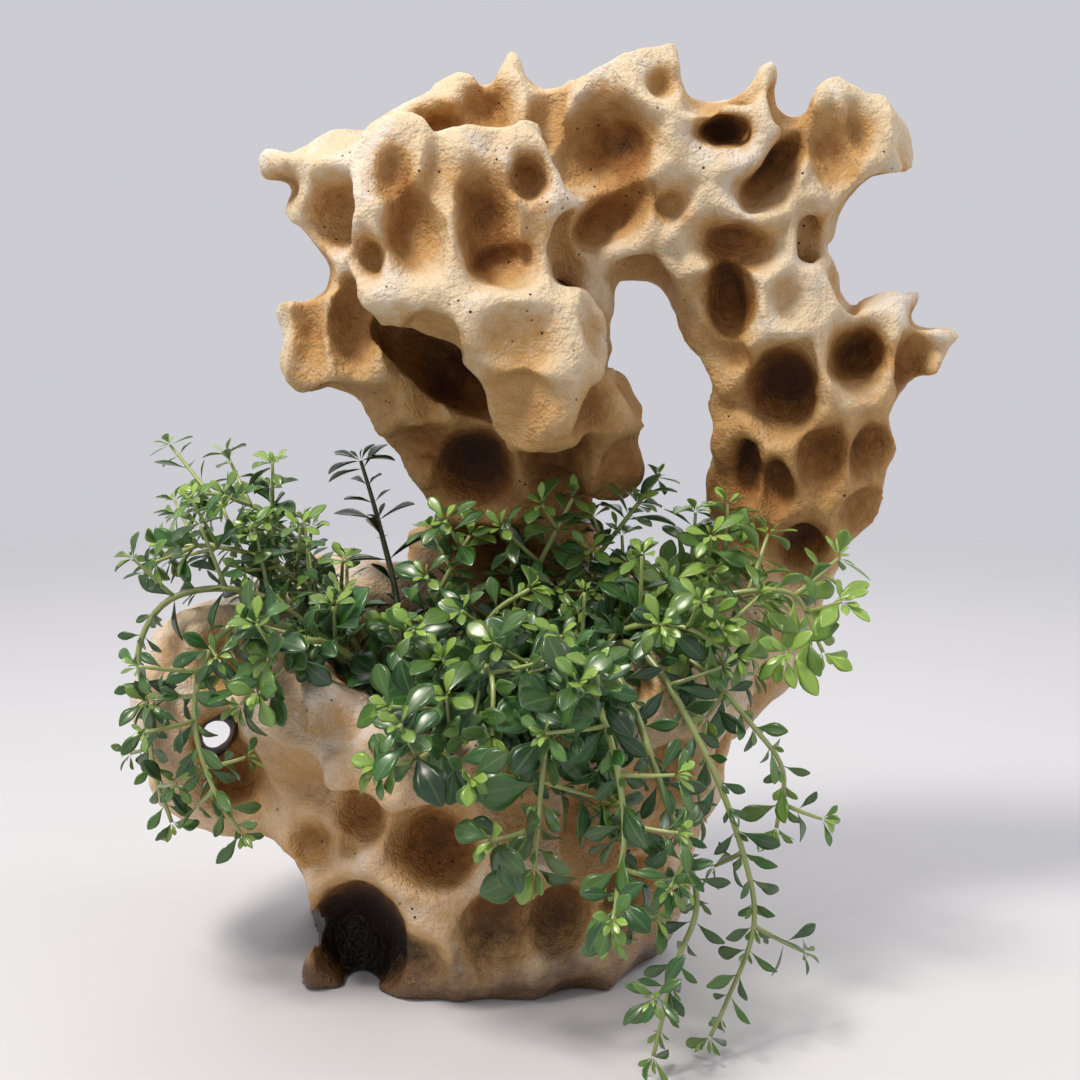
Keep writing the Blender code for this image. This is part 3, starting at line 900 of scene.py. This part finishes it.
top = np.full(len(all_points), SOIL_LEVEL - 0.6, np.float32)
for number, (rise_by, size) in enumerate(CLODS):
    top += rise_by * noise(all_points, size, 400 + number)
earth_field = ellipsoid(all_points, POCKET_MIDDLE, POCKET_RADII - Vector((SOIL_GAP,) * 3), Matrix.Identity(3))
earth_field = np.maximum(earth_field, all_points[:, 2] - top).reshape(counts)
earth_points, earth_faces = surface_of(earth_field)
earth = add_mesh("earth", earth_points * MM, earth_faces)
earth.data.shade_smooth()
loam, loam_shader, loam_start = new_finish("loam", Specular_IOR_Level=0.4)
crumb = cloud(loam_start, 1.6, 4.0)
join_up(
    loam_shader,
    Base_Color=crumb.mix((0.012, 0.008, 0.006), (0.075, 0.045, 0.026)),
    Roughness=0.95 - crumb * 0.4,
    Normal=loam_start.node("ShaderNodeBump", {}, {"Height": crumb, "Strength": 0.9, "Distance": 0.0008}),
)
earth.data.materials.append(loam)
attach(earth, "root")
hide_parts("soil")
print("soil:", len(earth_faces), "faces")

# %% [markdown]
# ## The creeper's sprigs
#
# Twenty-one sprigs root in the soil, rise over the rim and trail down. Each follows the same smooth curve as its
# node in the frame, given as the eye sees it. A curve that passes through all its places, whose bends depend only
# on the neighbouring ones, is easy to steer, so that is how the stems run.

# %% Sprig routes: places (u, v, depth) in mm from just over the root to the tip
SPRIGS = {
    "back_left": ((-13, 58, 6), (-14, 68, 10), (-16, 77, 12), (-18, 85, 12), (-20, 92, 12)),
    "left_high": ((-18, 55, 8), (-25, 68, 8), (-34, 79, 6), (-43, 85, 4), (-50, 86, 2)),
    "left_far": ((-20, 54, 1), (-27, 65, -2), (-37, 73, -6), (-47, 76, -8), (-57, 76, -8)),
    "left_outer": (
        (-22, 54, -6), (-32, 63, -10), (-44, 68, -14), (-56, 66, -17), (-62, 57, -20), (-61, 45, -23),
        (-60, 33, -26), (-57, 23, -28),
    ),
    "left_inner": (
        (-21, 51, -11), (-32, 60, -20), (-43, 62, -25), (-50, 54, -29), (-52, 42, -31), (-49, 30, -33),
        (-44, 21, -35),
    ),
    "front_left": ((-18, 50, -15), (-25, 57, -23), (-32, 58, -32), (-38, 55, -37)),
    "front_stem": ((-13, 46, -17), (-14, 51, -18), (-14, 56, -20), (-15, 61, -22)),
    "front_low": ((-6, 47, -17), (-4, 48, -28), (-4, 42, -38), (-9, 36, -44), (-17, 34, -47)),
    "middle_left": ((-9, 53, 2), (-8, 62, -2), (-4, 71, -6), (0, 78, -8)),
    "middle": ((-4, 50, -6), (0, 57, -14), (5, 64, -20), (11, 68, -22)),
    "middle_front": ((0, 48, -17), (1, 54, -28), (4, 51, -39), (4, 40, -44)),
    "front_centre": ((6, 50, -15), (11, 54, -28), (14, 43, -43), (13, 27, -47), (12, 14, -47)),
    "front_right": ((12, 52, -12), (19, 55, -27), (26, 40, -45), (29, 23, -50), (28, 11, -50), (27, 1, -50)),
    "right_hanging": ((22, 55, 1), (32, 60, -14), (43, 53, -25), (53, 42, -30), (59, 33, -30), (58, 22, -30)),
    "right_long": (
        (18, 53, -8), (31, 57, -23), (44, 37, -37), (52, 16, -42), (54, 2, -46), (49, -13, -50),
        (46, -20, -52),
    ),
    "front_bottom": (
        (16, 50, -20), (27, 52, -29), (37, 27, -44), (43, 8, -48), (39, -6, -53), (35, -24, -57),
    ),
    "right_high": ((12, 57, 10), (18, 67, 2), (25, 76, -2), (31, 84, -4)),
    "right_middle": ((18, 57, 8), (30, 67, -4), (42, 73, -10), (50, 76, -12)),
    "right_tip": ((23, 57, 6), (34, 64, -10), (47, 67, -18), (60, 67, -20), (66, 56, -22)),
    "right_low": ((20, 52, -3), (28, 60, -17), (39, 61, -24), (50, 55, -28)),
    "middle_back": ((6, 57, 10), (10, 66, 2), (14, 75, -4), (19, 85, -6)),
}
# What sets a sprig apart: its share of dark shade, how fresh it is, how long and how broad its leaves are, and
# how densely it branches. The others are plain.
PLAIN = (0.0, 0.05, 0.95, 0.9, 0.8)
CHARACTERS = {
    "back_left": (1.0, 0.0, 1.05, 0.6, 0.0),
    "left_high": (0.0, 0.30, 0.85, 0.9, 1.6),
    "left_far": (0.0, 0.20, 0.85, 0.9, 1.6),
    "left_outer": (0.35, 0.0, 0.80, 0.75, 0.4),
    "left_inner": (0.20, 0.0, 0.80, 0.70, 0.4),
    "front_left": (0.10, 0.0, 1.15, 1.1, 1.3),
    "front_stem": (0.05, 0.1, 1.10, 1.1, 0.5),
    "front_centre": (0.15, 0.0, 1.2, 1.2, 0.6),
    "front_low": (0.10, 0.0, 1.10, 1.1, 0.8),
    "right_hanging": (0.15, 0.1, 0.90, 0.8, 0.4),
    "right_long": (0.35, 0.0, 0.80, 0.65, 0.25),
    "front_bottom": (0.30, 0.0, 0.80, 0.65, 0.25),
    "right_tip": (0.0, 0.65, 1.10, 0.8, 0.8),
    "right_middle": (0.0, 0.35, 1.00, 0.9, 1.4),
    "right_low": (0.0, 0.20, 1.00, 0.9, 1.2),
}
ROOT_GAP = 0.3
ROUTE_STEP = 1.5


def smooth_route(places):
    """Points about ROUTE_STEP mm apart, from the soil straight up to the places and on through them."""
    knots = [seen(*row) for row in places]
    root = knots[0].copy()
    root.z = SOIL_LEVEL + ROOT_GAP
    knots.insert(0, root)
    knots = [2 * knots[0] - knots[1]] + knots + [2 * knots[-1] - knots[-2]]
    route = []
    for before, start, end, after in zip(knots, knots[1:], knots[2:], knots[3:]):
        steps = max(1, round((end - start).length / ROUTE_STEP))
        for step in range(steps):
            t = step / steps
            bend = 2 * before - 5 * start + 4 * end - after
            twist = -before + 3 * start - 3 * end + after
            route.append((2 * start + t * (end - before) + t * t * bend + t * t * t * twist) / 2)
    return route + [knots[-2]]


routes = {name: smooth_route(places) for name, places in SPRIGS.items()}
print("sprigs:", len(routes), "longest", max(len(route) for route in routes.values()) * ROUTE_STEP, "mm")

# %% [markdown]
# ## One leaf
#
# A leaf is a spoon: a narrow stalk, then a blade that is widest two thirds of the way along, with a blunt tip. It
# is fleshy, so it gets a real thickness. One flattened tube drawn from stalk to tip does it all, and closing both
# ends to a point makes it a solid. The blade folds a little along its midrib and its tip curls down.


# %% The leaf, from (0, 0, 0) along +Y, one unit long, with its upper face towards +Z
STALK_SHARE = 0.16
STALK_HALF = 0.028
BLADE_HALF = 0.225
# Above 1 the blade is widest past its middle, as a spoon's bowl is.
BLADE_LEAN = 1.45
# Below 1 the blade's ends are rounder than a sine's.
BLADE_ROUND = 0.9


def leaf_shape(rows, columns):
    """Points, faces, and for each point how far along it is, how near the edge, and 1 if it is underneath."""
    ring = [(-1 + k / columns, 1) for k in range(2 * columns + 1)]
    ring += [(x, -1) for x, _ in reversed(ring[1:-1])]
    points, along, edge, under, faces = [(0.0, 0.0, 0.0)], [0.0], [0.0], [0.0], []
    for row in range(1, rows):
        t = math.sin(math.pi / 2 * row / rows)
        blade = max(0.0, (t - STALK_SHARE) / (1 - STALK_SHARE))
        half = STALK_HALF + BLADE_HALF * math.sin(math.pi * blade**BLADE_LEAN) ** BLADE_ROUND
        thick = 0.012 + 0.010 * math.sin(math.pi * t)
        for x, side in ring:
            body = math.sqrt(max(0.0, 1 - x * x))
            cup = 0.26 * half * abs(x)
            curl = 0.06 * t - 0.22 * t * t
            points.append((half * x, t, curl + cup + side * thick * body))
            along.append(t)
            edge.append(abs(x))
            under.append(float(side < 0))
    points.append((0.0, 1.0, 0.06 - 0.22))
    along.append(1.0)
    edge.append(1.0)
    under.append(0.0)
    count = len(ring)
    last = 1 + (rows - 2) * count
    for k in range(count):
        after = (k + 1) % count
        faces.append((0, 1 + after, 1 + k))
        for low in range(1, last, count):
            faces.append((low + k, low + after, low + count + after, low + count + k))
        faces.append((last + k, last + after, len(points) - 1))
    return np.array(points), faces, along, edge, under


BIG_LEAF = leaf_shape(9, 2)
SMALL_LEAF = leaf_shape(7, 2)
print("leaf faces:", len(BIG_LEAF[1]), "and", len(SMALL_LEAF[1]))

# %% [markdown]
# ## Growing a sprig
#
# The leaves sit in pairs, each pair turned a quarter from the one below, and the joints get closer towards the tip,
# where the youngest leaves make a bright rosette. Short side shoots fill the gaps. A leaf that would run into the
# stone or the floor is turned away from it, or left out where there is no room.

# %% Grow
STONE_TREE = BVHTree.FromPolygons(
    [Vector(p) for p in place], [tuple(face.vertices) for face in stone_mesh.polygons]
)
LEAF_CLEAR = 0.7
BIG_FROM = 5.5
JOINT_GAPS = (5.2, 3.4)
LEAF_LENGTHS = (10.6, 6.8)
STEM_RADII = (0.85, 0.36)
BARE_SHARE = 0.16
SHOOT_LENGTHS = (5.0, 14.0)
SHOOT_LEAVES = (8.6, 6.0)
SHOOT_RADII = (0.45, 0.28)
SHOOT_GAPS = (3.9, 2.9)
SHOOT_LIFT = 0.4
LIGHT_FROM = Vector((-0.25, -0.45, 0.86))


def clearance(point):
    """How far a point is outside the stone, in mm, less than zero inside, and the way out."""
    near, normal, _, distance = STONE_TREE.find_nearest(point)
    outside = (point - near).dot(normal) > 0
    return (distance if outside else -distance), normal


class Growth:
    """Collects one sprig's stems and leaves as points, faces and the numbers that its colour follows."""

    def __init__(self, character, chance):
        self.points, self.faces = [], []
        self.numbers = {"blade": [], "rim": [], "under": [], "young": [], "tone": [], "shade": []}
        self.shade, self.fresh, self.longer, self.broader, self.branching = character
        self.chance, self.leaves = chance, 0

    def add(self, points, faces, **numbers):
        first = len(self.points)
        self.points += [tuple(p) for p in points]
        self.faces += [tuple(first + i for i in face) for face in faces]
        for name, held in self.numbers.items():
            value = numbers.get(name, self.shade)
            held += list(value) if hasattr(value, "__len__") else [value] * len(points)

    def stem(self, route, radii, young):
        sides = 8
        points, faces, side = [], [], Vector((1, 0.1, 0))
        for index, middle in enumerate(route):
            along = (route[min(index + 1, len(route) - 1)] - route[max(index - 1, 0)]).normalized()
            side = (side - along * side.dot(along)).normalized()
            other = along.cross(side)
            for step in range(sides):
                angle = 2 * math.pi * step / sides
                points.append(middle + (side * math.cos(angle) + other * math.sin(angle)) * radii[index])
        for ring in range(len(route) - 1):
            for step in range(sides):
                a, b = ring * sides + step, ring * sides + (step + 1) % sides
                faces.append((a, b, b + sides, a + sides))
        faces.append(tuple(reversed(range(sides))))
        faces.append(tuple(range(len(points) - sides, len(points))))
        self.add(points, faces, blade=0.0, rim=0.0, under=0.0, young=young, tone=self.chance.random())

    def leaf(self, start, way, face_up, length, young):
        """Adds a leaf from start along way, or nothing if the stone leaves it no room."""
        way = way.normalized()
        for _ in range(6):
            worst, push = LEAF_CLEAR, None
            for t in (0.35, 0.7, 1.0):
                room, normal = clearance(start + way * length * t)
                floor_room = (start + way * length * t).z
                if floor_room < room:
                    room, normal = floor_room, Vector((0, 0, 1))
                if room < worst:
                    worst, push = room, normal
            if push is None:
                break
            way = (way + push * 0.35).normalized()
        else:
            return
        normal = face_up - way * face_up.dot(way)
        if normal.length < 0.05:
            normal = way.orthogonal()
        normal.normalize()
        across = way.cross(normal)
        shape, faces, along, edge, under = BIG_LEAF if length > BIG_FROM else SMALL_LEAF
        wide = self.broader * self.chance.uniform(0.85, 1.15)
        axes = np.array((across * wide, way, normal * self.chance.uniform(0.4, 1.6)))
        points = np.array(start) + (shape * length) @ axes
        young = min(1.0, young + self.fresh * self.chance.uniform(0.5, 1.0))
        self.add(points, faces, blade=along, rim=edge, under=under, young=young, tone=self.chance.random())
        self.leaves += 1

    def pair(self, at, along, side, length, lean, young):
        for sign in (1, -1):
            tilt = math.radians(lean + self.chance.uniform(-12, 12))
            sideways = (side * sign + Vector([self.chance.uniform(-0.25, 0.25) for _ in range(3)])).normalized()
            way = along * math.cos(tilt) + sideways * math.sin(tilt)
            way = (way + Vector((0, 0, -0.12))).normalized()
            up = (along * 0.9 + LIGHT_FROM * 0.9).normalized()
            grown = length * self.longer * self.chance.uniform(0.6, 1.18)
            self.leaf(at + way * 0.3, way, up, grown, young)

    def rosette(self, at, along, size):
        side = along.orthogonal().normalized()
        for number in range(4):
            turned = Matrix.Rotation(number * math.pi / 2 + self.chance.uniform(-0.3, 0.3), 3, along) @ side
            self.pair(at, along, turned, size * (1.0 - 0.2 * number), 72 - 16 * number, 0.25 + 0.25 * number)

    def sprig(self, route, lengths, radii, gaps, shoots):
        """A stem along the route, with pairs of leaves, side shoots and a rosette at its tip."""
        total = (len(route) - 1) * (route[1] - route[0]).length
        thickness = [radii[0] + (radii[1] - radii[0]) * k / (len(route) - 1) for k in range(len(route))]
        self.stem(route, thickness, 0.35)
        step = (route[1] - route[0]).length
        gone = total * BARE_SHARE if shoots else gaps[1]
        side = (route[1] - route[0]).orthogonal().normalized()
        while gone < total - 1.5:
            share = gone / total
            index = min(int(gone / step), len(route) - 2)
            at = route[index].lerp(route[index + 1], gone / step - index)
            along = (route[index + 1] - route[index]).normalized()
            side = (side - along * side.dot(along)).normalized()
            side = Matrix.Rotation(math.pi / 2 + self.chance.uniform(-0.3, 0.3), 3, along) @ side
            young = max(0.0, share - 0.55) * 0.9
            length = lengths[0] + (lengths[1] - lengths[0]) * share
            self.pair(at, along, side, length, 62, young)
            if shoots and self.chance.random() < 0.6:
                self.pair(at, along, along.cross(side), length * 0.45, 45, young + 0.2)
            for chosen in (self.branching, self.branching - 1):
                if shoots and self.chance.random() < chosen:
                    self.shoot(at, along, side)
            gone += gaps[0] + (gaps[1] - gaps[0]) * share
        self.rosette(route[-1], (route[-1] - route[-2]).normalized(), lengths[1])

    def shoot(self, at, along, side):
        """A short side shoot from a joint, bent towards the light."""
        length = self.chance.uniform(*SHOOT_LENGTHS)
        way = (along * 0.5 + side * self.chance.choice((-1, 1)) + LIGHT_FROM * SHOOT_LIFT).normalized()
        if clearance(at + way * length)[0] < 2.0:
            return
        steps = 5
        route = [at + way * length * k / steps + LIGHT_FROM * 0.8 * (k / steps) ** 2 for k in range(steps + 1)]
        self.sprig(route, SHOOT_LEAVES, SHOOT_RADII, SHOOT_GAPS, False)


# %% [markdown]
# ## The plant's finish
#
# A leaf is glossy dark green with a paler rim, the young ones in the rosettes are bright yellow-green, and the stems
# are pale and almost see-through. All of it follows the numbers that were kept while growing.

# %% Foliage
DARK_LEAF = (0.010, 0.044, 0.013)
FRESH_LEAF = (0.040, 0.150, 0.024)
YOUNG_LEAF = (0.270, 0.430, 0.065)
PALE_RIM = (0.180, 0.300, 0.100)
PALE_UNDER = (0.110, 0.190, 0.085)
STEM_GREEN = (0.340, 0.400, 0.130)
SHADED_LEAF = (0.014, 0.022, 0.010)

foliage, leaf_shader, leaf_start = new_finish(
    "foliage", Subsurface_Weight=0.12, Subsurface_Scale=0.0008, Subsurface_Radius=(0.5, 1.0, 0.2), Coat_Weight=0.4,
    Coat_Roughness=0.2,
)
rim = kept(leaf_start, "rim")
dapple = cloud(leaf_start, 1.4, 2.0)
green = (kept(leaf_start, "tone") * 0.85 + (dapple - 0.5) * 0.5).mix(DARK_LEAF, FRESH_LEAF)
green = kept(leaf_start, "young").between(0.05, 0.95).mix(green, YOUNG_LEAF)
green = ((1 - rim.between(0.02, 0.14)) * 0.3).mix(green, PALE_RIM)
green = (rim.between(0.86, 1.0) * 0.5).mix(green, PALE_RIM)
green = (kept(leaf_start, "under") * 0.6).mix(green, PALE_UNDER)
green = kept(leaf_start, "blade").between(0.0, 0.2).mix(STEM_GREEN, green)
green = (kept(leaf_start, "shade") * 0.85).mix(green, SHADED_LEAF)
veins = leaf_start.node("ShaderNodeBump", {}, {"Height": dapple, "Strength": 0.3, "Distance": 0.0002})
join_up(leaf_shader, Base_Color=green, Roughness=0.28 + dapple * 0.2, Normal=veins)

# %% Grow every sprig
PLANT_SEED = 11
for number, (name, route) in enumerate(routes.items()):
    route = [point.copy() for point in route]
    for index, point in enumerate(route):
        room, normal = clearance(point)
        need = STEM_RADII[0] + 0.3
        if room < need and index > 3:
            route[index] = point + normal * (need - room)
    growth = Growth(CHARACTERS.get(name, PLAIN), random.Random(PLANT_SEED + number))
    growth.sprig(route, LEAF_LENGTHS, STEM_RADII, JOINT_GAPS, True)
    piece = add_mesh("creeper_" + name, [Vector(p) * MM for p in growth.points], growth.faces)
    for kind, values in growth.numbers.items():
        keep(piece.data, kind, values)
    piece.data.shade_smooth()
    piece.data.materials.append(foliage)
    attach(piece, "root")
    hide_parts("sprig_" + name)
    print(f"{name}: {growth.leaves} leaves, {len(piece.data.polygons)} faces")

# %% [markdown]
# ## The end

# %% Finish
print("scene built")
